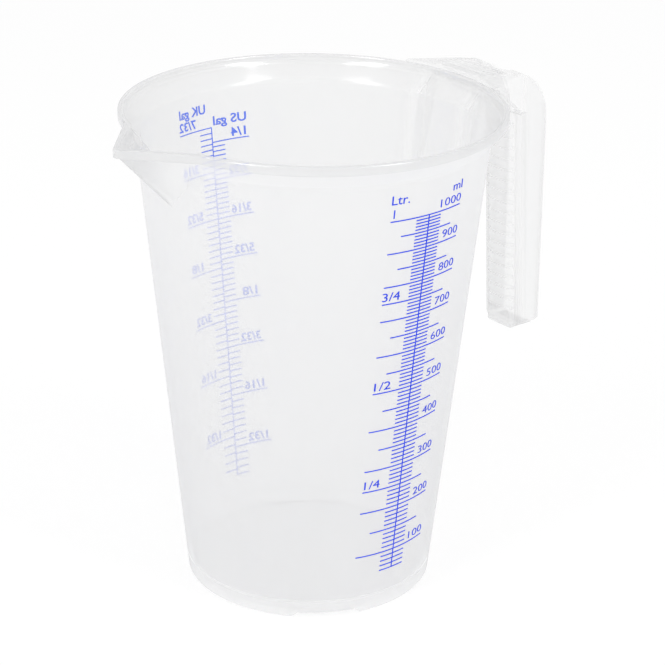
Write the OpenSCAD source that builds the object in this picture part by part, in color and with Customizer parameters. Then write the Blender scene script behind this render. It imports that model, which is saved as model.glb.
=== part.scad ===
// Measuring jug for one litre: a tapered translucent cup with a flared rim, a pointed
// spout, a hanging handle and two printed scales. The origin is the centre of the foot
// on the bench, +Z is up, the handle points along +X and the spout along -X.

/* [Cup] */
// Height of the rim above the bench
height = 164.4; // [130:0.2:200]
// Outer radius of the foot on the bench
foot_r = 41.7; // [34:0.1:48]
// Outer radius that the tapered wall would have at the height of the rim
top_r = 58.5; // [52:0.1:70]
// Wall thickness at the foot
foot_wall = 1.5; // [1:0.1:2.4]
// Wall thickness at the rim
top_wall = 1.8; // [1:0.1:2.6]

/* [Foot] */
// Height of the ring that the jug stands on
skirt_h = 1.8; // [1.2:0.1:4]
// Thickness of the floor
floor_t = 1.3; // [0.9:0.1:3]
// How much higher the middle of the floor lies than its edge
floor_rise = 0.6; // [0:0.1:2]
// Inside radius between floor and wall
floor_r = 4; // [1:0.5:8]
// Number of drain notches in the foot ring
notch_count = 3; // [1:1:6]
// Width of a notch at the bench
notch_w = 23.6; // [8:0.2:30]
// Height of a notch
notch_h = 1.7; // [0.6:0.1:1.8]
// How far each end of a notch slopes in
notch_slope = 2.3; // [0.5:0.1:4]

/* [Rim] */
// Outer radius of the lip
rim_r = 62.9; // [58:0.1:74]
// Height of the upright lip
lip_h = 2.7; // [1.6:0.1:5]
// Thickness of the lip
lip_t = 2; // [1.2:0.1:3]
// How far below the lip the wall starts to flare
flare_h = 5.9; // [4:0.1:9]
// Radius of the bends of the flare
flare_r = 3.5; // [1:0.1:5]

/* [Spout] */
// How far the tip of the spout lies from the axis
spout_reach = 76.9; // [70:0.1:90]
// Half the width of the spout where it leaves the rim
spout_half_w = 20.5; // [12:0.1:28]
// How far below the rim the keel of the spout leaves the wall
spout_drop = 22.7; // [14:0.1:32]
// Wall thickness of the spout
spout_wall = 1.6; // [1:0.1:2.4]
// Width of the flat nose at the tip
nose_w = 1.6; // [0.8:0.1:4]

/* [Handle] */
// Width of the handle
handle_w = 20; // [16:0.5:24]
// How far the outer face of the handle stands out from the rim, at its upper end
handle_reach = 32.3; // [30:0.1:49.1]
// How much further out it lies at its lower end
outer_lean = 1.4; // [0:0.1:3]
// Height of the lower end of the handle above the bench
handle_low = 65.6; // [40:0.2:90]
// Outer radius of the bend at the top of the handle
bend_r = 19; // [10:0.5:20]
// Thickness of the handle's walls
handle_wall = 2; // [1.4:0.1:2.4]
// Radius of the upright edges on the finger side
handle_edge_r = 3; // [1:0.5:4]
// Radius at the lower end, finger side
end_r = 4.4; // [1:0.1:5]
// Radius of the bow of the lower end, seen from outside
end_bow_r = 12.5; // [12.2:0.1:40]

/* [Finger grip] */
// How far beyond the rim the finger grip lies at its upper end
finger_x = 18.3; // [16.1:0.1:20.1]
// How much further out the finger grip lies at its lower end
finger_lean = 5.2; // [2:0.1:6]
// Width of the finger grip
finger_w = 13.6; // [10:0.2:15]
// How far it stands out from the handle
finger_h = 2.2; // [1.2:0.1:2.5]
// Radius of its upright edges
finger_r = 3; // [1:0.1:4]
// Number of grooves across it
finger_grooves = 18; // [8:1:24]
// Distance from one groove to the next
finger_pitch = 4.07; // [3:0.01:4.1]
// Width of a groove
groove_w = 1.3; // [0.6:0.1:2]
// Depth of a groove
groove_depth = 0.6; // [0.3:0.1:0.8]
// How far the first groove lies below the upper end of the grip
first_groove = 6; // [3:0.5:8]

/* [Bridge] */
// Half the width of the bridge at the rim
bridge_half_w = 22.7; // [16:0.1:32]
// How far beyond the rim the bridge has narrowed to the handle's width
neck_x = 22.3; // [20.1:0.1:25.1]
// How far beyond the rim the thumb rest ends
bridge_x = 17.5; // [15.1:0.1:19.1]
// Thickness of the top plate at the grip
plate_t = 1.8; // [1.2:0.1:3]
// How far the top plate stands above the rim where it meets it
plate_rise = 0.7; // [0.4:0.1:2]
// Depth of the bridge where it meets the grip
bridge_drop = 13.6; // [12:0.2:18]
// How far the underside lies up between the side walls
roof_recess = 1.5; // [0.5:0.1:2.5]
// Length down the wall of the two ribs under the bridge
rib_len = 50; // [30:1:80]
// How far the ribs stand out from the wall
rib_out = 4; // [2:0.5:6]
// Thickness of a rib
rib_t = 2; // [1:0.1:3]
// Distance between the middles of the two ribs
rib_gap = 23; // [16:0.5:26]

/* [Thumb rest] */
// Half the width of the thumb rest
thumb_half_w = 11.6; // [9:0.1:12]
// How far its inner end stands above the rim
thumb_h = 2.4; // [1.5:0.1:3]
// Width of the borders round its ridges
border_w = 1.2; // [0.8:0.1:3]
// Number of ridges across it
thumb_ridges = 3; // [2:1:8]
// Height of these ridges
thumb_ridge_h = 0.7; // [0.2:0.1:1]
// How deep the ridged floor lies in the top plate at its outer end
thumb_sink = 0.6; // [0.3:0.1:1]

/* [Scales] */
// Direction of each scale, measured round the jug from the handle
scale_turn = 89.1; // [70:0.1:110]
// Largest mark of the metric scale, in millilitres
metric_full = 1000; // [800:50:1100]
// Smallest mark of the metric scale
metric_low = 60; // [40:10:100]
// Millilitres from one metric mark to the next
metric_step = 10; // [10:10:50]
// Length of the short marks, to each side of the centre line
short_mark = 5; // [3:0.1:7]
// Length of the middle marks
middle_mark = 10.2; // [7.5:0.1:12]
// Length of the long marks
long_mark = 14.3; // [12.5:0.1:18]
// Width of the printed lines
line_w = 0.35; // [0.3:0.01:1]
// Thickness of the printed ink
ink_t = 0.12; // [0.08:0.01:0.3]
// Lean of the gallon print towards the spout, in degrees
gallon_lean = 0.6; // [-2:0.1:2]

/* [Hidden] */
$fn = 120;
over = 1;                          // overrun of every cut
arc_steps = 6;                     // chords in each rounded corner of a profile
uk_gallon = 4546.09;               // millilitres
us_gallon = 3785.41;               // millilitres
gallon_parts = 256;                // marks per gallon
gallon_low = 4;                    // smallest gallon mark, in parts
uk_high = 56;                      // largest UK mark, in parts
us_high = 64;                      // largest US mark, in parts
gallon_long = 8;                   // parts from one long gallon mark to the next
metric_quarter = 25;               // steps from one quarter of a litre to the next
metric_long = 10;                  // steps from one long metric mark to the next
metric_middle = 5;                 // steps from one middle metric mark to the next
ml_edge = 10;                      // edge of the cube that holds a millilitre
half_turn = 180;
ridge_shares = [0, 0.25, 0.5, 0.75];   // corners of a thumb ridge along its step

small_r = 0.6;                     // radius on thin edges of the cup
skirt_in = foot_r - foot_wall;     // inner radius of the foot ring
floor_z = skirt_h + floor_t;       // top of the floor at its edge
lip_z = height - lip_h;            // where the upright lip starts
flare_z = lip_z - flare_h;         // where the flare leaves the wall
slope = (top_r - foot_r) / height;
in_slope = slope - (top_wall - foot_wall) / height;
dome_steps = 6;

function outer_r(z) = foot_r + slope * z;
function inner_r(z) = foot_r - foot_wall + in_slope * z;

// Height of the liquid's surface for a volume, from the cone above the floor and
// what the rise of the floor and the radius round it take away
dome_loss = PI * pow(inner_r(floor_z), 2) * floor_rise / 2;
fillet_loss = (1 - PI / 4) * pow(floor_r, 2) * 2 * PI * inner_r(floor_z);
function fill_z(ml) =
    (pow(pow(inner_r(floor_z), 3)
    + 3 * in_slope * (ml * pow(ml_edge, 3) + dome_loss + fillet_loss) / PI, 1 / 3)
    - inner_r(0)) / in_slope;

// Rounds the corners of an outline: each point is [x, y, radius]
function unit(v) = v / norm(v);
function xy(p) = [p[0], p[1]];
function corner(a, b, c, r) =
    let (u = unit(a - b), v = unit(c - b), half = acos(u * v) / 2,
         mid = b + unit(u + v) * r / sin(half),
         from = b + u * r / tan(half) - mid, to = b + v * r / tan(half) - mid,
         start = atan2(from[1], from[0]),
         turn = atan2(to[1], to[0]) - start,
         sweep = (turn + 3 * half_turn) % (2 * half_turn) - half_turn)
    [for (i = [0:arc_steps]) mid + r * [cos(start + sweep * i / arc_steps),
                                        sin(start + sweep * i / arc_steps)]];
function rounded(p) =
    [for (i = [0:len(p) - 1])
        let (n = len(p), a = xy(p[(i + n - 1) % n]), b = xy(p[i]), c = xy(p[(i + 1) % n]))
        each p[i][2] == 0 ? [b] : corner(a, b, c, p[i][2])];

function dome(r, base) =
    [for (i = [0:dome_steps - 1])
        [r * i / dome_steps, base + floor_rise * (1 - pow(i / dome_steps, 2)), 0]];
function reversed(p) = [for (i = [len(p) - 1:-1:0]) p[i]];

// Outside of the cup, from the bench to the lip
outside = [
    [foot_r, 0, small_r],
    [outer_r(flare_z), flare_z, flare_r],
    [rim_r, lip_z, small_r],
    [rim_r, height, small_r]];
// Inside of the cup, from the lip down to the floor
inside = [
    [rim_r - lip_t, height, small_r],
    [rim_r - lip_t, lip_z + small_r, flare_r],
    [inner_r(flare_z), flare_z + small_r, flare_r],
    [inner_r(floor_z), floor_z, floor_r]];

module cup_profile() {
    polygon(rounded(concat(
        dome(skirt_in, skirt_h),
        [[skirt_in, skirt_h, 0], [skirt_in, 0, 0]],
        outside,
        inside,
        reversed(dome(inner_r(floor_z) - floor_r, floor_z)))));
}
module cup_wall() { rotate_extrude() cup_profile(); }
// The cup as if it were full to the rim
module cup_filled() {
    rotate_extrude() polygon(rounded(concat([[0, 0, 0]], outside, [[0, height, 0]])));
}
module cup_room() {
    rotate_extrude() polygon(rounded(concat(
        [[0, floor_z + floor_rise, 0], [0, height + over, 0],
         [rim_r - lip_t, height + over, 0]],
        [for (i = [1:3]) inside[i]],
        [for (p = reversed(dome(inner_r(floor_z) - floor_r, floor_z))) if (p[0] > 0) p])));
}

// Spout: a V whose keel runs up from the wall to the tip
keel_low = [-outer_r(height - spout_drop), height - spout_drop];
keel_high = [-(spout_reach - small_r), lip_z + small_r];
keel = unit(keel_high - keel_low);
keel_len = norm(keel_high - keel_low) + lip_h * 2;
keel_angle = atan2(keel[0], keel[1]);
root_x = -sqrt(pow(rim_r, 2) - pow(spout_half_w, 2));
root_in = (root_x - keel_low[0]) * keel[1] + (height - keel_low[1]) * -keel[0];
vee_share = spout_half_w / root_in;
room_shift = spout_wall * sqrt(1 + pow(vee_share, 2)) / vee_share;

module vee(shift, grow) {
    translate([keel_low[0], 0, keel_low[1]])
        rotate([0, keel_angle, 0])
            translate([shift, 0, -grow])
                linear_extrude(keel_len + grow * 2)
                    polygon([[0, 0], [rim_r, rim_r * vee_share], [rim_r, -rim_r * vee_share]]);
}
module plan_vee(tip, half_w, back) {
    polygon([[-tip, -nose_w / 2], [-tip, nose_w / 2], [root_x, half_w],
             [back, half_w], [back, -half_w], [root_x, -half_w]]);
}
module spout_outside() {
    intersection() {
        vee(0, 0);
        translate([0, 0, keel_low[1] - over])
            linear_extrude(lip_z - keel_low[1] + over + small_r)
                plan_vee(spout_reach, spout_half_w, root_x + spout_half_w);
    }
    translate([0, 0, lip_z])
        linear_extrude(lip_h)
            plan_vee(spout_reach, spout_half_w, root_x + spout_half_w);
}
module spout_room() {
    intersection() {
        vee(room_shift, lip_h);
        translate([0, 0, keel_low[1] - over])
            linear_extrude(height - keel_low[1] + over * 2)
                plan_vee(spout_reach - lip_t, spout_half_w - spout_wall, -foot_r / 2);
    }
}
module notches() {
    for (i = [0:notch_count - 1])
        rotate([0, 0, i * 360 / notch_count])
            rotate([90, 0, 90])
                translate([0, 0, skirt_in - floor_r])
                    linear_extrude(foot_wall + floor_r + over)
                        polygon([[-notch_w / 2, 0], [notch_w / 2, 0],
                                 [notch_w / 2 - notch_slope, notch_h],
                                 [-notch_w / 2 + notch_slope, notch_h]]);
}
module jug_body() {
    color([0.9, 0.91, 0.92, 0.75])
        difference() {
            union() {
                cup_wall();
                difference() {
                    spout_outside();
                    cup_room();
                }
            }
            spout_room();
            translate([0, 0, -notch_h]) linear_extrude(notch_h) circle(rim_r);
            notches();
        }
}

// Handle, drawn from the side in x and z
half_w = handle_w / 2;
rim_in = rim_r - lip_t;
reach_x = rim_r + handle_reach;    // outer face of the handle
grip_x = rim_r + finger_x;         // finger side of the grip
rest_x = rim_r + bridge_x;         // outer end of the thumb rest
waist_x = rim_r + neck_x;          // where the bridge is as wide as the handle
end_x = rest_x + handle_edge_r;    // middle of the round end of the open side
roof_slope = (bridge_drop - small_r) / (rest_x - rim_in);
inner_x = grip_x + groove_depth + handle_wall;
finger_high = roof_z(grip_x) - small_r;
grip_len = finger_high - handle_low;
top_slope = plate_rise / (rest_x - rim_in);
function roof_z(x) = height - bridge_drop + roof_slope * (rest_x - x);
function finger_at(z) = grip_x + finger_lean * (finger_high - z) / grip_len;
function both_sides(half) = concat(half, reversed([for (p = half) [p[0], -p[1], p[2]]]));

module upright(depth) {
    translate([0, depth / 2, 0]) rotate([90, 0, 0]) linear_extrude(depth) children();
}
module side_outline() {
    polygon(rounded([
        [rim_in / 2, height + plate_rise, 0],
        [rim_in, height + plate_rise, 0],
        [reach_x, height - top_slope * (reach_x - rest_x), bend_r],
        [reach_x + outer_lean, handle_low, end_r / 2],
        [finger_at(handle_low), handle_low, end_r],
        [grip_x, finger_high, small_r],
        [grip_x + finger_h, roof_z(grip_x + finger_h), 0],
        [rim_in, roof_z(rim_in), 0],
        [rim_in / 2, roof_z(rim_in), 0]]));
}
// What the walls enclose: open outward below the bend
module side_inside() {
    far_x = reach_x + handle_w;
    roof_t = roof_recess + handle_wall * sqrt(1 + pow(roof_slope, 2));
    plate_x = rest_x - (bridge_drop - plate_t - roof_t) / roof_slope;
    polygon(rounded([
        [far_x, handle_low + handle_wall, 0],
        [inner_x + finger_lean, handle_low + handle_wall, end_r],
        [inner_x, finger_high, small_r],
        [inner_x, roof_z(inner_x) + roof_t, small_r],
        [plate_x, height - plate_t, 0],
        [rest_x, height - plate_t, 0],
        [rest_x, height + over, 0],
        [far_x, height + over, 0]]));
}
module under_recess() {
    near = rim_r + plate_t * 2;
    x = grip_x - small_r;
    far = grip_x + groove_depth;
    polygon([[near, roof_z(near) - over], [x, roof_z(x) - over / 2], [far, roof_z(far)],
             [far, roof_z(far) + roof_recess], [near, roof_z(near) + roof_recess]]);
}
// Seen from above: the grip leans out towards its lower end
module leaning() {
    translate([grip_x, 0, finger_high])
        rotate([0, -atan2(finger_lean, grip_len), 0])
            translate([0, 0, -grip_len * 2])
                linear_extrude(grip_len * 2)
                    children();
}
module finger_plan(inset) {
    front = finger_w / 2 - inset;
    polygon(rounded(both_sides([[handle_w, front, 0], [inset, front, finger_r]])));
}
module grip_outside() {
    leaning() {
        finger_plan(0);
        polygon(rounded(both_sides([[handle_w * 2, half_w, 0],
                                    [finger_h, half_w, handle_edge_r]])));
    }
}
module grip_inside() {
    finger_in = finger_w / 2 - handle_wall;
    wall_in = half_w - handle_wall;
    leaning()
        polygon(rounded(both_sides([[handle_w * 2, wall_in, 0],
                                    [finger_h + handle_wall, wall_in, small_r],
                                    [finger_h + handle_wall, finger_in, 0],
                                    [0, finger_in, 0]])));
}
module finger_groove(i) {
    drop = first_groove + i * finger_pitch;
    translate([grip_x, 0, finger_high])
        rotate([0, -atan2(finger_lean, grip_len), 0])
            translate([0, 0, -drop - groove_w / 2])
                linear_extrude(groove_w)
                    difference() {
                        translate([-over, -finger_w / 2 - over])
                            square([finger_h + over - groove_depth / 2, finger_w + over * 2]);
                        finger_plan(groove_depth);
                    }
}
module bridge_plan(inset) {
    rim_x = sqrt(pow(rim_r, 2) - pow(bridge_half_w, 2));
    translate([0, 0, finger_high - small_r])
        linear_extrude(height)
            polygon(rounded(both_sides([[reach_x * 2, half_w - inset, 0],
                                        [waist_x, half_w - inset, 0],
                                        [rim_x, bridge_half_w - inset, 0],
                                        [rim_x / 2, bridge_half_w - inset, 0]])));
}
module end_bow() {
    translate([0, 0, handle_low + end_bow_r]) {
        rotate([0, 90, 0]) cylinder(h = reach_x * 2, r = end_bow_r);
        translate([0, -rim_r, 0]) cube([reach_x * 2, rim_r * 2, height]);
    }
}
module ribs() {
    rib_low = height - rib_len;
    bend_z = roof_z(grip_x);
    roof_x = max(outer_r(bend_z) + rib_out * 2, rim_r + handle_wall);
    for (side = [-1, 1])
        translate([0, side * rib_gap / 2, 0])
            upright(rib_t)
                polygon(rounded([
                    [inner_r(rib_low), rib_low, 0],
                    [outer_r(rib_low) - small_r, rib_low, 0],
                    [outer_r(bend_z) + rib_out, bend_z, rib_out * 2],
                    [roof_x, roof_z(roof_x) + roof_recess + over, 0],
                    [inner_r(height), height - plate_t / 2, 0]]));
}
// Thumb rest: a ridged slope with a raised border, on top of the bridge
module thumb_rest() {
    inner = rim_r + border_w;
    outer = end_x - half_w + handle_wall;
    drop_z = height - thumb_sink;
    floor_slope = (plate_rise / 2 + thumb_sink) / (outer - inner);
    step = (outer - inner) / thumb_ridges;
    difference() {
        upright(thumb_half_w * 2)
            polygon([[rim_in, height - plate_t / 2], [rim_in, height + thumb_h],
                     [rest_x, height], [rest_x, height - plate_t / 2]]);
        thumb_hollow(inner, step, drop_z, floor_slope, outer);
    }
}
module thumb_hollow(inner, step, drop_z, floor_slope, outer) {
    upright((thumb_half_w - border_w) * 2)
        polygon(concat(
            [for (i = [0:thumb_ridges - 1])
                let (x = inner + step * i, z = drop_z + floor_slope * (outer - x),
                     at = [for (share = ridge_shares) x + step * share])
                each [[at[0], z], [at[1], z + thumb_ridge_h],
                      [at[2], z + thumb_ridge_h], [at[3], z]]],
            [[outer, drop_z], [outer, height + thumb_h * 2], [inner, height + thumb_h * 2]]));
}
// Round end of the open side, seen from above: it cuts the top plate
module open_end() {
    translate([end_x, 0, height - plate_t - over / 2])
        cylinder(h = height, r = half_w - handle_wall);
}
module handle_outside() {
    intersection() {
        upright(bridge_half_w * 2) side_outline();
        union() {
            grip_outside();
            bridge_plan(0);
        }
        end_bow();
    }
}
module handle_inside() {
    intersection() {
        upright(bridge_half_w * 2) side_inside();
        union() {
            grip_inside();
            bridge_plan(handle_wall);
        }
    }
    intersection() {
        upright(bridge_half_w * 2) under_recess();
        bridge_plan(handle_wall);
    }
}
module handle() {
    color([0.88, 0.89, 0.91, 0.8])
        difference() {
            union() {
                difference() {
                    handle_outside();
                    handle_inside();
                    for (i = [0:finger_grooves - 1]) finger_groove(i);
                }
                thumb_rest();
                ribs();
            }
            open_end();
            cup_filled();
            translate([0, 0, height - small_r / 2]) cylinder(h = height, r = rim_r);
        }
}

// Printed scales: marks that lie on the outside of the wall
module on_wall() {
    intersection() {
        rotate_extrude()
            polygon([[outer_r(skirt_h), skirt_h], [outer_r(skirt_h) + ink_t, skirt_h],
                     [outer_r(flare_z) + ink_t, flare_z], [outer_r(flare_z), flare_z]]);
        children();
    }
}
module mark(z, left, right) {
    translate([-left, 0, z - line_w / 2]) cube([left + right, top_r * 2, line_w]);
}
module centre_line(low, high) {
    translate([-line_w / 2, 0, low - line_w / 2]) cube([line_w, top_r * 2, high - low + line_w]);
}
function metric_left(ml) =
    ml % (metric_step * metric_quarter) == 0 ? long_mark : metric_right(ml);
function metric_right(ml) =
    ml % (metric_step * metric_long) == 0 ? long_mark
    : ml % (metric_step * metric_middle) == 0 ? middle_mark : short_mark;
module metric_scale() {
    color([0.2, 0.3, 0.93])
        rotate([0, 0, -scale_turn])
            rotate([0, 0, -90])
                on_wall() {
                    union() {
                        centre_line(fill_z(metric_low), fill_z(metric_full));
                        for (ml = [metric_low:metric_step:metric_full])
                            mark(fill_z(ml), metric_right(ml), metric_left(ml));
                    }
                }
}
function gallon_mark(part) = part % gallon_long == 0 ? long_mark : short_mark;
// Turns a print about the middle of its height
module leaning_print(low, high, angle) {
    middle = (low + high) / 2;
    translate([0, 0, middle]) rotate([0, -angle, 0]) translate([0, 0, -middle]) children();
}
module gallon_scale() {
    part_uk = uk_gallon / gallon_parts;
    part_us = us_gallon / gallon_parts;
    low = fill_z(gallon_low * part_us);
    high = fill_z(uk_high * part_uk);
    color([0.2, 0.3, 0.93])
        rotate([0, 0, scale_turn])
            rotate([0, 0, -90])
                on_wall() {
                    leaning_print(low, high, gallon_lean) {
                        centre_line(low, high);
                        for (part = [gallon_low:uk_high])
                            mark(fill_z(part * part_uk), gallon_mark(part), 0);
                        for (part = [gallon_low:us_high])
                            mark(fill_z(part * part_us), 0, gallon_mark(part));
                    }
                }
}

jug_body();
handle();
metric_scale();
gallon_scale();
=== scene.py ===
import math
import bpy
from mathutils import Matrix, Vector


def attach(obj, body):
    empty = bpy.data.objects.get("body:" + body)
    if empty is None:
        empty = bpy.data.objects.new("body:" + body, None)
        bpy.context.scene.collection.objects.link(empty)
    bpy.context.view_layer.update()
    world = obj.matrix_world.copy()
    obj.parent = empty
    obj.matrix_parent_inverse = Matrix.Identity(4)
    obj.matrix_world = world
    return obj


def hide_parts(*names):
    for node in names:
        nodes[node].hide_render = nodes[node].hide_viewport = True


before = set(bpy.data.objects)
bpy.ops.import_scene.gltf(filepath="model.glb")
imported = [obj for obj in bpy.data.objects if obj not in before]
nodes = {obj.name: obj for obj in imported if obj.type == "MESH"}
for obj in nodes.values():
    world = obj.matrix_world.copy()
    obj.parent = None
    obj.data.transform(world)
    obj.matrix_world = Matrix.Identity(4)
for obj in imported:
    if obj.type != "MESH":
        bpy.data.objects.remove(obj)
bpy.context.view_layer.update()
scene = bpy.context.scene
scene.view_settings.view_transform = "Standard"

mm = 0.001

# The cup's outer wall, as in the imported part: the print lies on it
wall = {
    "footRadius": 41.7,
    "topRadius": 58.5,
    "height": 164.4,
    "inkThickness": 0.12,
    "inkSink": 0.06,         # how far the ink bites into the wall
}


def wallRadius(z):    # outside of the cup in mm, at height z
    return wall["footRadius"] + (wall["topRadius"] - wall["footRadius"]) * z / wall["height"]


camera = {
    "position": (-0.427417, -0.532188, 0.371418),
    "heading": 50.6262,     # degrees from +X towards +Y
    "down": 22.7379,
    "roll": 0.9171,
    "lens": 119.446,
    "sensor": 36.0,
}


def addCamera(c):
    heading, down, roll = (math.radians(c[k]) for k in ("heading", "down", "roll"))
    ahead = Vector((math.cos(down) * math.cos(heading), math.cos(down) * math.sin(heading), -math.sin(down)))
    right = Vector((math.sin(heading), -math.cos(heading), 0))
    up = right.cross(ahead)
    right, up = (math.cos(roll) * right + math.sin(roll) * up,
                 math.cos(roll) * up - math.sin(roll) * right)
    data = bpy.data.cameras.new("photoCamera")
    data.sensor_width = c["sensor"]
    data.lens = c["lens"]
    data.clip_start = 0.01
    view = bpy.data.objects.new("photoCamera", data)
    scene.collection.objects.link(view)
    turn = Matrix((right, up, -ahead)).transposed().to_4x4()
    view.matrix_world = Matrix.Translation(c["position"]) @ turn
    scene.camera = view


addCamera(camera)
print("camera set")


def newMaterial(name):
    material = bpy.data.materials.new(name)
    material.use_nodes = True
    tree = material.node_tree
    tree.nodes.clear()
    output = tree.nodes.new("ShaderNodeOutputMaterial")
    return material, tree, output


def addNode(tree, kind, **values):
    node = tree.nodes.new(kind)
    for key, value in values.items():
        socket = key.replace("_", " ")
        if socket in node.inputs:
            node.inputs[socket].default_value = value
        else:
            setattr(node, key, value)
    return node


milky = {
    "colour": (0.988, 0.988, 0.99, 1.0),
    "shade": (0.968, 0.970, 0.974, 1.0),
    "deep": (0.89, 0.892, 0.90, 1.0),      # painted shade seen edge on, for the longer path through the plastic
    "thickShade": (0.83, 0.832, 0.84, 1.0),     # painted shade where more plastic lies behind the face
    "body": 0.40,            # share of light that one face scatters, seen head on
    "edge": 0.74,            # the same, seen edge on
    "lit": 0.5,              # share of the scattered light that comes through from behind
    "gloss": 0.16,           # roughness of the gloss
    "ior": 1.49,
    "mirror": 0.04,          # what a face mirrors head on
    "lipMirror": 0.15,       # the same on the lip, which is polished in the mould
    "glancing": 0.10,        # and edge on
    "glancePower": 5.0,      # how late towards the edge that sets in
    "mottle": 38.0,          # scale of the soft unevenness of the moulding
    "bump": 0.06,
}


def calculate(tree, operation, *values):
    node = addNode(tree, "ShaderNodeMath", operation=operation)
    for socket, value in zip(node.inputs, values):
        if isinstance(value, (int, float)):
            socket.default_value = value
        else:
            tree.links.new(value, socket)
    return node.outputs["Value"]


def ramp(tree, value, start, end):    # 0 at start, 1 at end, in mm
    node = addNode(tree, "ShaderNodeMapRange", interpolation_type="SMOOTHSTEP")
    node.inputs["From Min"].default_value = start * mm
    node.inputs["From Max"].default_value = end * mm
    tree.links.new(value, node.inputs["Value"])
    return node.outputs["Result"]


# Places where the plastic is thicker or clearer than elsewhere, or has a painted highlight, in mm.
# The keel of the spout and the upright lip hold more plastic than the wall; their colour is painted darker
# there, painted shade for the light lost in the thicker plastic
thickShadePlaces = {
    "keelHalf": 0.6,
    "keelFrom": -57.0,       # x at which the keel leaves the wall
    "keelShare": 0.7,
    "keelFade": 1,
    "lipFrom": 161.4,
    "lipFade": 0.4,
    "lipRadius": 62.0,       # the outer half of the lip
    "lipRadiusFade": 0.3,
    "lipTo": 57.0,           # x at which the bridge of the handle takes over
    "lipToFade": 5,
    "lipShare": 0.7,
}
# and the wall is clearer, so it shows lighter, in bands on both sides of the ribs
clearPlaces = {
    "inner": 8.4,            # middles of the two bands beside a rib, from the XZ plane
    "outer": 14.6,
    "half": 1.7,
    "from": 110.0,
    "fade": 12,
    "sideFade": 30,          # x at which the bands have reached their full share
    "share": 0.35,
    "lipShare": 0.6,         # the inner half of the lip
    "lipFade": 0.4,
}
# a painted highlight: a white line runs round the foot, where the floor meets the wall
footHighlightPlaces = {
    "low": 5.2,
    "high": 6.8,
    "from": 41.0,
    "fade": 0.2,
    "share": 0.8,
    "colour": (1.0, 1.0, 1.0, 1.0),
}


def mixColour(tree, factor, first, second):    # a colour is a socket or four numbers
    node = addNode(tree, "ShaderNodeMix", data_type="RGBA")
    colourIn = [i for i in node.inputs if i.type == "RGBA"]
    for socket, colour in zip(colourIn, (first, second)):
        if isinstance(colour, tuple):
            socket.default_value = colour
        else:
            tree.links.new(colour, socket)
    tree.links.new(factor, node.inputs["Factor"])
    return [o for o in node.outputs if o.type == "RGBA"][0]


def mixShader(tree, factor, first, second):
    node = addNode(tree, "ShaderNodeMixShader")
    if isinstance(factor, float):
        node.inputs["Fac"].default_value = factor
    else:
        tree.links.new(factor, node.inputs["Fac"])
    tree.links.new(first, node.inputs[1])
    tree.links.new(second, node.inputs[2])
    return node.outputs["Shader"]


def splitAxes(tree, place):
    node = addNode(tree, "ShaderNodeSeparateXYZ")
    tree.links.new(place.outputs["Object"], node.inputs["Vector"])
    return [node.outputs[k] for k in "XYZ"]


def band(tree, value, middle, fade):    # 0 below middle, 1 above it
    return ramp(tree, value, middle - fade, middle + fade)


def axisDistance(tree, x, y):
    return calculate(tree, "SQRT", calculate(tree, "ADD", calculate(tree, "MULTIPLY", x, x),
                                             calculate(tree, "MULTIPLY", y, y)))


def clearMask(tree, axes, s):
    x, y, z = axes
    aside = calculate(tree, "ABSOLUTE", y)
    bands = [ramp(tree, calculate(tree, "ABSOLUTE", calculate(tree, "SUBTRACT", aside, s[k] * mm)),
                  s["half"] * 1.6, s["half"] * 0.2) for k in ("inner", "outer")]
    both = calculate(tree, "MULTIPLY", calculate(tree, "MAXIMUM", *bands), s["share"])
    both = calculate(tree, "MULTIPLY", both, ramp(tree, x, 0, s["sideFade"]))
    both = calculate(tree, "MULTIPLY", both, ramp(tree, z, s["from"], s["from"] + s["fade"]))
    high = band(tree, z, thickShadePlaces["lipFrom"], thickShadePlaces["lipFade"])
    lipRadius = thickShadePlaces["lipRadius"]
    inLip = ramp(tree, axisDistance(tree, x, y), lipRadius, lipRadius - s["lipFade"])
    inLip = calculate(tree, "MULTIPLY", inLip, high)
    inLip = calculate(tree, "MULTIPLY", inLip, s["lipShare"])
    return calculate(tree, "MAXIMUM", both, inLip)


def lightMask(tree, axes, s):
    x, y, z = axes
    middle, half = (s["low"] + s["high"]) / 2, (s["high"] - s["low"]) / 2
    off = calculate(tree, "ABSOLUTE", calculate(tree, "SUBTRACT", z, middle * mm))
    line = calculate(tree, "MULTIPLY", ramp(tree, off, half * 1.2, half * 0.4),
                     band(tree, axisDistance(tree, x, y), s["from"], s["fade"]))
    return calculate(tree, "MULTIPLY", line, s["share"])


def thickMask(tree, axes, s):
    x, y, z = axes
    aside = calculate(tree, "ABSOLUTE", y)
    keel = calculate(tree, "MULTIPLY", ramp(tree, aside, s["keelHalf"] * 1.5, s["keelHalf"] * 0.5),
                     ramp(tree, x, s["keelFrom"] + s["keelFade"], s["keelFrom"] - s["keelFade"]))
    high = band(tree, z, s["lipFrom"], s["lipFade"])
    outer = band(tree, axisDistance(tree, x, y), s["lipRadius"], s["lipRadiusFade"])
    lip = calculate(tree, "MULTIPLY", high, outer)
    # from inside the cup the lip's outer face gets none of the painted shade
    side = addNode(tree, "ShaderNodeNewGeometry")
    lip = calculate(tree, "MULTIPLY", lip, calculate(tree, "SUBTRACT", 1.0, side.outputs["Backfacing"]))
    lip = calculate(tree, "MULTIPLY", lip, ramp(tree, x, s["lipTo"], s["lipTo"] - s["lipToFade"]))
    return calculate(tree, "MAXIMUM", calculate(tree, "MULTIPLY", keel, s["keelShare"]),
                     calculate(tree, "MULTIPLY", lip, s["lipShare"])), high


# the handle is clearer at the bridge and on its ridged face than on the far side of the grip
gripHaze = {"from": 82.5, "to": 89.0, "least": 0.58}


def gripShare(tree, axes, share, s):
    far = ramp(tree, axes[0], s["from"], s["to"])
    part = calculate(tree, "ADD", s["least"], calculate(tree, "MULTIPLY", far, 1.0 - s["least"]))
    return calculate(tree, "MULTIPLY", share, part)


# fine grain of the moulding: how fine its flow lines are, and how far they reach up the wall
grain = {"flow": 190.0, "stretch": (1.0, 1.0, 0.12), "depth": 0.0004}


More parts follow.
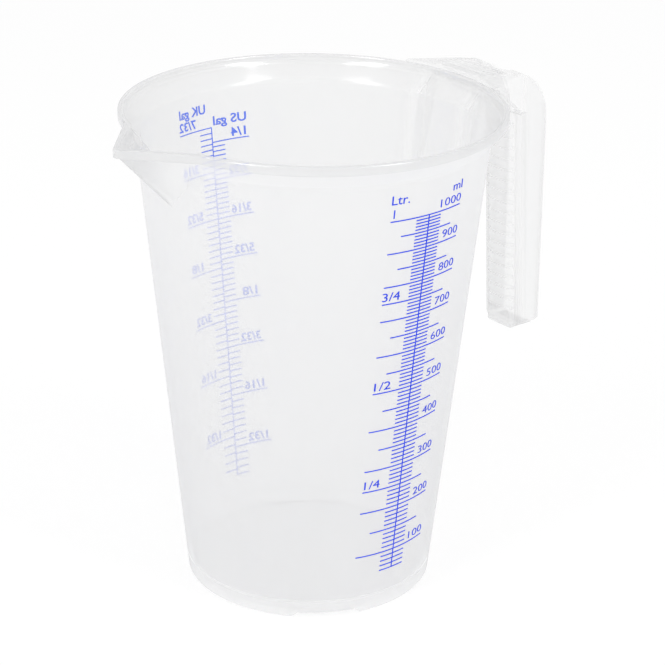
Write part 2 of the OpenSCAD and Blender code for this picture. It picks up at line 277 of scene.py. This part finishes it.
def milkyPlastic(name, s, thickShade=None, haze=None):
    material, tree, output = newMaterial(name)
    link = tree.links.new
    place = addNode(tree, "ShaderNodeTexCoord")
    axes = splitAxes(tree, place) if thickShade or haze else None
    mottle = addNode(tree, "ShaderNodeTexNoise", Scale=s["mottle"], Detail=3.0, Roughness=0.55)
    link(place.outputs["Object"], mottle.inputs["Vector"])
    # flow lines from the gate run up the wall, so this noise is stretched along Z
    stretch = addNode(tree, "ShaderNodeMapping")
    stretch.inputs["Scale"].default_value = grain["stretch"]
    link(place.outputs["Object"], stretch.inputs["Vector"])
    flow = addNode(tree, "ShaderNodeTexNoise", Scale=grain["flow"], Detail=2.0, Roughness=0.5)
    link(stretch.outputs["Vector"], flow.inputs["Vector"])
    bump = addNode(tree, "ShaderNodeBump", Strength=s["bump"], Distance=grain["depth"])
    link(flow.outputs["Fac"], bump.inputs["Height"])

    colour = mixColour(tree, mottle.outputs["Fac"], s["shade"], s["colour"])
    if thickShade:
        mask, high = thickMask(tree, axes, thickShade)
        # painted shade: the keel and the lip are mixed towards a darker colour
        colour = mixColour(tree, mask, colour, s["thickShade"])
    facing = addNode(tree, "ShaderNodeLayerWeight", Blend=0.5).outputs["Facing"]
    # painted shade: a face seen edge on is mixed towards a darker colour
    colour = mixColour(tree, calculate(tree, "MULTIPLY", facing, facing), colour, s["deep"])
    if thickShade:
        # painted highlight: the line round the foot is mixed towards white
        light = lightMask(tree, axes, footHighlightPlaces)
        colour = mixColour(tree, light, colour, footHighlightPlaces["colour"])
    solid = addNode(tree, "ShaderNodeBsdfPrincipled", Roughness=0.5, IOR=s["ior"])
    solid.inputs["Specular IOR Level"].default_value = 0.0
    link(colour, solid.inputs["Base Color"])
    link(bump.outputs["Normal"], solid.inputs["Normal"])
    through = addNode(tree, "ShaderNodeBsdfTranslucent")
    link(colour, through.inputs["Color"])
    scatter = mixShader(tree, s["lit"], solid.outputs["BSDF"], through.outputs["BSDF"])

    milkiness = addNode(tree, "ShaderNodeMapRange")
    milkiness.inputs["To Min"].default_value = s["body"]
    milkiness.inputs["To Max"].default_value = s["edge"]
    link(facing, milkiness.inputs["Value"])
    share = milkiness.outputs["Result"]
    if haze:
        share = gripShare(tree, axes, share, haze)
    if thickShade:
        share = calculate(tree, "MAXIMUM", share, mask)
        clearer = clearMask(tree, axes, clearPlaces)
        share = calculate(tree, "MULTIPLY", share, calculate(tree, "SUBTRACT", 1.0, clearer))
        # the painted highlight at the foot is made milky, so its white shows
        share = calculate(tree, "MAXIMUM", share, light)
    clear = addNode(tree, "ShaderNodeBsdfTransparent")
    body = mixShader(tree, share, clear.outputs["BSDF"], scatter)

    shine = addNode(tree, "ShaderNodeBsdfGlossy", Roughness=s["gloss"])
    link(bump.outputs["Normal"], shine.inputs["Normal"])
    mirror = addNode(tree, "ShaderNodeMapRange")
    mirror.inputs["To Min"].default_value = s["mirror"]
    if thickShade:
        more = calculate(tree, "MULTIPLY", high, s["lipMirror"] - s["mirror"])
        link(calculate(tree, "ADD", s["mirror"], more), mirror.inputs["To Min"])
    mirror.inputs["To Max"].default_value = s["glancing"]
    # a thin wall mirrors alike from both of its sides, so its gloss grows with a power of Facing
    link(calculate(tree, "POWER", facing, s["glancePower"]), mirror.inputs["Value"])
    whole = mixShader(tree, mirror.outputs["Result"], body, shine.outputs["BSDF"])
    link(whole, output.inputs["Surface"])
    return material


ink = {
    "colour": (0.003, 0.040, 0.73, 1.0),
    "thin": (0.012, 0.060, 0.77, 1.0),     # where the screen left less ink
    "patches": 900.0,
    "roughness": 0.42,
    "specular": 0.3,
}


def printedInk(name, s):
    material, tree, output = newMaterial(name)
    link = tree.links.new
    place = addNode(tree, "ShaderNodeTexCoord")
    patch = addNode(tree, "ShaderNodeTexNoise", Scale=s["patches"], Detail=2.0, Roughness=0.6)
    link(place.outputs["Object"], patch.inputs["Vector"])
    bump = addNode(tree, "ShaderNodeBump", Strength=0.15, Distance=0.00005)
    link(patch.outputs["Fac"], bump.inputs["Height"])
    solid = addNode(tree, "ShaderNodeBsdfPrincipled", Roughness=s["roughness"])
    solid.inputs["Specular IOR Level"].default_value = s["specular"]
    link(mixColour(tree, patch.outputs["Fac"], s["colour"], s["thin"]), solid.inputs["Base Color"])
    link(bump.outputs["Normal"], solid.inputs["Normal"])
    link(solid.outputs["BSDF"], output.inputs["Surface"])
    return material


def dress(piece, material):
    piece.data.materials.clear()
    piece.data.materials.append(material)


jugPlastic = milkyPlastic("jugPlastic", milky, thickShadePlaces)
# the haze lies near the outside, so the print is seen sharper from inside the cup
insidePlastic = milkyPlastic("insidePlastic", dict(milky, body=0.13, edge=0.30), thickShadePlaces)
handlePlastic = milkyPlastic("handlePlastic", dict(
    milky, body=0.46, edge=0.46, bump=0.02, glancing=0.07, colour=(0.968, 0.968, 0.971, 1.0),
    shade=(0.955, 0.955, 0.96, 1.0), deep=(0.955, 0.955, 0.96, 1.0)), haze=gripHaze)
handleInside = milkyPlastic("handleInside", dict(
    milky, body=0.05, edge=0.05, bump=0.0, deep=milky["colour"]))
# where two solids touch, or a face is turned to the bench, there is no surface to see
joinedPlastic = milkyPlastic("joinedPlastic", dict(
    milky, body=0.0, edge=0.0, bump=0.0, mirror=0.0, glancing=0.0))
blueInk = printedInk("blueInk", ink)
gallonInk = printedInk("gallonInk", dict(
    ink, colour=(0.002, 0.09, 0.84, 1.0), thin=(0.012, 0.12, 0.88, 1.0)))
print("plastic and ink mixed")


# a CAD node is loose triangles, so its copy is merged before it is shaded smooth
def mergedCopy(node, name, angle):
    piece = bpy.data.objects.new(name, node.data.copy())
    scene.collection.objects.link(piece)
    bpy.ops.object.select_all(action="DESELECT")
    bpy.context.view_layer.objects.active = piece
    piece.select_set(True)
    bpy.ops.object.mode_set(mode="EDIT")
    bpy.ops.mesh.select_all(action="SELECT")
    bpy.ops.mesh.remove_doubles(threshold=0.000005)
    bpy.ops.object.mode_set(mode="OBJECT")
    bpy.ops.object.shade_smooth_by_angle(angle=math.radians(angle))
    return piece


def moulded(nodeName, name, angle):
    piece = mergedCopy(nodes[nodeName], name, angle)
    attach(piece, "root")
    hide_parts(nodeName)
    return piece


outsideSlot, insideSlot, joinedSlot = range(3)
smooth = 18    # edges sharper than this many degrees stay sharp

# which faces of the cup are not plain outside ones: lengths in mm
cupFaces = {
    "flat": 0.9,             # a normal this far up or down is level
    "floorBelow": 10,        # the floor's top lies below this height
    "footBelow": 0.5,        # the underside of the foot ring
    "ringBelow": 1.7,        # the inside of the foot ring
    "ribAside": 11.5,        # middle of a rib, from the XZ plane
    "ribHalf": 1.05,
    "ribFrom": 40,           # x
    "ribBelow": 158,
    "ribClear": 0.1,         # beyond the wall
}


def onRib(c, s):
    aside = abs(abs(c.y) - s["ribAside"]) < s["ribHalf"]
    return (aside and c.x > s["ribFrom"] and c.z < s["ribBelow"]
            and math.hypot(c.x, c.y) > wallRadius(c.z) + s["ribClear"])


def cupSlot(face, s):
    c = face.center / mm
    inward = face.normal.dot(Vector((c.x, c.y, 0)).normalized()) < 0
    if onRib(c, s):
        return insideSlot
    if face.normal.z < -s["flat"] and c.z < s["footBelow"] or inward and c.z < s["ringBelow"]:
        return joinedSlot
    if inward or face.normal.z > s["flat"] and c.z < s["floorBelow"]:
        return insideSlot
    return outsideSlot


cup = moulded("jug_body", "cup", smooth)
dress(cup, jugPlastic)
cup.data.materials.append(insidePlastic)
cup.data.materials.append(joinedPlastic)
for face in cup.data.polygons:
    face.material_index = cupSlot(face, cupFaces)

# the middle line of the grip runs up and then back to the rim: faces that look at it are inside ones
grip = {
    "x": 86.5,
    "lean": 4.0,             # how much further out the line lies at its lower end
    "low": 65.6,
    "bend": 152.0,
    "bridge": 156.5,
    "innerX": 78,            # x at which the grip begins
    "touching": -0.8,        # a normal this far towards the axis faces the cup
    "touchRadius": 63.4,
}


def handleSlot(face, s):
    c = face.center / mm
    out = Vector((c.x, c.y, 0)).normalized()
    if face.normal.dot(out) < s["touching"] and math.hypot(c.x, c.y) < s["touchRadius"]:
        return joinedSlot
    if c.z < s["bend"] and c.x > s["innerX"]:
        down = (s["bend"] - c.z) / (s["bend"] - s["low"])
        middle = Vector((s["x"] + s["lean"] * down, 0, c.z))
    else:
        middle = Vector((c.x, 0, s["bridge"]))
    return insideSlot if face.normal.dot(c - middle) < 0 else outsideSlot


hangingHandle = moulded("handle", "hanging_handle", smooth)
dress(hangingHandle, handlePlastic)
hangingHandle.data.materials.append(handleInside)
hangingHandle.data.materials.append(joinedPlastic)
for face in hangingHandle.data.polygons:
    face.material_index = handleSlot(face, grip)


# the inner side of the ink is pressed a little into the wall, so no two faces lie on each other
def printedMarks(nodeName, name, material):
    piece = moulded(nodeName, name, 30)
    sink = wall["inkSink"] * mm
    for v in piece.data.vertices:
        r = math.hypot(v.co.x, v.co.y)
        if r < (wallRadius(v.co.z / mm) + wall["inkThickness"] / 2) * mm:
            v.co.x *= (r - sink) / r
            v.co.y *= (r - sink) / r
    dress(piece, material)


printedMarks("metric_scale", "metric_marks", blueInk)
printedMarks("gallon_scale", "gallon_marks", gallonInk)
print("cup, handle and marks finished")


# flat words as a mesh, baseline on y = 0 and left edge on x = 0, in mm
def textMesh(words, height, width=None, bold=0.0):
    bpy.ops.object.select_all(action="DESELECT")
    bpy.ops.object.text_add(location=(0, 0, 0))
    text = bpy.context.object
    text.data.body = "H"
    bpy.context.view_layer.update()
    capital = text.dimensions.y
    text.data.body = words
    text.data.resolution_u = 3
    text.data.offset = bold
    text.data.extrude = 0.5
    bpy.ops.object.convert(target="MESH")
    text = bpy.context.object
    left = min(v.co.x for v in text.data.vertices)
    right = max(v.co.x for v in text.data.vertices)
    tall = height / capital
    wide = tall if width is None else width / (right - left)
    for v in text.data.vertices:
        v.co = ((v.co.x - left) * wide, v.co.y * tall, v.co.z + 0.5)
    return text


# left is the arc from the scale's middle to the words' left edge, base the height of their baseline
def wrapOnWall(text, scale, left, base):
    for v in text.data.vertices:
        z = base + v.co.y
        r = wallRadius(z)
        a = math.radians(scale["azimuth"]) + (left + v.co.x + scale["lean"] * (z - scale["middle"])) / r
        r += v.co.z * (wall["inkThickness"] + wall["inkSink"]) - wall["inkSink"]
        v.co = (r * math.cos(a) * mm, r * math.sin(a) * mm, z * mm)


def printWords(name, scale, rows):
    made = []
    for words, left, base, height, width, bold in rows:
        text = textMesh(words, height, width, bold)
        wrapOnWall(text, scale, left, base)
        made.append(text)
    bpy.ops.object.select_all(action="DESELECT")
    for text in made:
        text.select_set(True)
    bpy.context.view_layer.objects.active = made[0]
    bpy.ops.object.join()
    words = bpy.context.object
    words.name = name
    bpy.ops.object.mode_set(mode="EDIT")
    bpy.ops.mesh.select_all(action="SELECT")
    bpy.ops.mesh.remove_doubles(threshold=0.000001)
    bpy.ops.mesh.normals_make_consistent(inside=False)
    bpy.ops.object.mode_set(mode="OBJECT")
    dress(words, scale["ink"])
    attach(words, "root")
    return words


# Heights of the liquid for a volume, in mm and ml, as the part's marks have them
fill = {
    "footWall": 1.5,
    "topWall": 1.8,
    "floor": 3.1,
    "rise": 0.6,
    "fillet": 4.0,
}


def fillHeight(ml):
    slope = (wall["topRadius"] - wall["footRadius"]) / wall["height"]
    slope -= (fill["topWall"] - fill["footWall"]) / wall["height"]
    start = wall["footRadius"] - fill["footWall"]
    low = start + slope * fill["floor"]
    lost = math.pi * low ** 2 * fill["rise"] / 2
    lost += (1 - math.pi / 4) * fill["fillet"] ** 2 * 2 * math.pi * low
    return ((low ** 3 + 3 * slope * (ml * 1000 + lost) / math.pi) ** (1 / 3) - start) / slope


# size, place and weight of the print, in mm; a row is words, left edge, baseline, height, width, weight
metric = {
    "ink": blueInk,
    "azimuth": -89.2,
    "lean": 0.0,
    "middle": 0.0,
    "rightEnd": 14.75,
    "digits": {"height": 2.7, "above": 1.2, "bold": -0.012, "width": 7.7, "widest": 10.0},
    "parts": {"height": 2.85, "above": 1.05, "bold": -0.004,
              "rows": (("1", 1000, -13.5, None), ("3/4", 750, -14.5, 6.25),
                       ("1/2", 500, -14.1, 5.9), ("1/4", 250, -14.0, 5.6))},
    "units": (("Ltr.", -14.5, 148.85, 3.0, 6.3, -0.002), ("ml", 10.2, 148.75, 2.85, 4.65, -0.006)),
}
rows = []
digits = metric["digits"]
for ml in range(100, 1001, 100):
    width = digits["widest"] if ml == 1000 else digits["width"]
    rows.append((str(ml), metric["rightEnd"] - width, fillHeight(ml) + digits["above"],
                 digits["height"], width, digits["bold"]))
parts = metric["parts"]
for words, ml, left, width in parts["rows"]:
    rows.append((words, left, fillHeight(ml) + parts["above"], parts["height"], width, parts["bold"]))
rows.extend(metric["units"])
printWords("metric_numbers", metric, rows)

gallon = {
    "ink": gallonInk,
    "azimuth": 89.1,
    "parts": 256,                           # marks per gallon
    "uk": 4546.09,                          # ml
    "us": 3785.41,
    "above": 1.05,
    "height": 2.9,
    "bold": 0.018,
    "lean": math.tan(math.radians(0.6)),    # the print leans towards the spout at its top
    "lowest": 4,                            # part of the lowest US mark
    "highest": 56,                          # part of the highest UK mark
    "ukRight": 14.6,
    "ukStep": 0.03,                         # how far each part below the top moves the words
    "usLeft": -13.4,
    "ukRows": ((56, "7/32", 7.9), (48, "3/16", 7.6), (40, "5/32", 7.6), (32, "1/8", 5.6),
               (24, "3/32", 7.4), (16, "1/16", 7.2), (8, "1/32", 7.0)),
    "usRows": ((64, "1/4", 5.7), (56, "7/32", 7.6), (48, "3/16", 7.6), (40, "5/32", 7.6),
               (32, "1/8", 5.7), (24, "3/32", 7.6), (16, "1/16", 7.6), (8, "1/32", 7.6)),
    "units": (("US gal", -13.9, 143.35, 3.0, 13.0, 0.016), ("UK gal", 2.1, 148.0, 3.05, 12.1, 0.016)),
}


def gallonHeight(part, unit):
    return fillHeight(part * gallon[unit] / gallon["parts"])


gallon["middle"] = (gallonHeight(gallon["lowest"], "us") + gallonHeight(gallon["highest"], "uk")) / 2
rows = []
for part, words, width in gallon["ukRows"]:
    left = gallon["ukRight"] - width - (gallon["highest"] - part) * gallon["ukStep"]
    rows.append((words, left, gallonHeight(part, "uk") + gallon["above"],
                 gallon["height"], width, gallon["bold"]))
for part, words, width in gallon["usRows"]:
    rows.append((words, gallon["usLeft"], gallonHeight(part, "us") + gallon["above"],
                 gallon["height"], width, gallon["bold"]))
rows.extend(gallon["units"])
printWords("gallon_numbers", gallon, rows)
print("numbers and units printed on the wall")


ground = {"size": 8.0, "colour": (0.98, 0.98, 0.98, 1.0), "shown": 0.78, "below": 0.0002}


# 1 for a ray that shows the floor or the backdrop itself, 0 for one that only gathers light
def shownRay(tree):
    path = addNode(tree, "ShaderNodeLightPath")
    seen = calculate(tree, "MAXIMUM", path.outputs["Is Camera Ray"], path.outputs["Is Glossy Ray"])
    return calculate(tree, "MAXIMUM", seen, path.outputs["Is Transmission Ray"])


def addFloor(s):
    bpy.ops.object.select_all(action="DESELECT")
    bpy.ops.mesh.primitive_plane_add(size=s["size"], location=(0, 0, -s["below"]))
    floor = bpy.context.object
    floor.name = "studioFloor"
    material, tree, output = newMaterial("studioFloor")
    paint = addNode(tree, "ShaderNodeBsdfDiffuse")
    paint.inputs["Color"].default_value = s["colour"]
    white = addNode(tree, "ShaderNodeEmission", Strength=1.0)
    share = calculate(tree, "MULTIPLY", shownRay(tree), s["shown"])
    mix = mixShader(tree, share, paint.outputs["BSDF"], white.outputs["Emission"])
    tree.links.new(mix, output.inputs["Surface"])
    dress(floor, material)


addFloor(ground)

studio = {"light": 0.84, "colour": (1.0, 1.0, 1.0, 1.0)}


def addWorld(s):
    world = bpy.data.worlds.new("studioWorld")
    scene.world = world
    world.use_nodes = True
    tree = world.node_tree
    tree.nodes.clear()
    output = tree.nodes.new("ShaderNodeOutputWorld")
    soft = addNode(tree, "ShaderNodeBackground", Strength=s["light"])
    soft.inputs["Color"].default_value = s["colour"]
    shown = addNode(tree, "ShaderNodeBackground", Strength=1.0)
    shown.inputs["Color"].default_value = (1, 1, 1, 1)
    mix = mixShader(tree, shownRay(tree), soft.outputs["Background"], shown.outputs["Background"])
    tree.links.new(mix, output.inputs["Surface"])


addWorld(studio)

lamps = {
    "rightSoftbox": {"at": (0.26, -1.04, 1.05), "width": 0.30, "height": 1.0, "watts": 4.2},
    "leftSoftbox": {"at": (-1.06, -0.19, 1.05), "width": 0.36, "height": 1.0, "watts": 5.0},
}
for name, lamp in lamps.items():
    data = bpy.data.lights.new(name, "AREA")
    data.shape = "RECTANGLE"
    data.size = lamp["width"]
    data.size_y = lamp["height"]
    data.energy = lamp["watts"]
    light = bpy.data.objects.new(name, data)
    scene.collection.objects.link(light)
    light.location = lamp["at"]
    aim = Vector((0, 0, 0.08)) - Vector(lamp["at"])
    light.rotation_euler = aim.to_track_quat("-Z", "Y").to_euler()
print("floor, world and lamps set")

# many thin clear walls lie behind one another, so rays may pass more of them than usual
scene.cycles.transparent_max_bounces = 32
scene.cycles.diffuse_bounces = 12
scene.cycles.glossy_bounces = 12
scene.cycles.max_bounces = 24
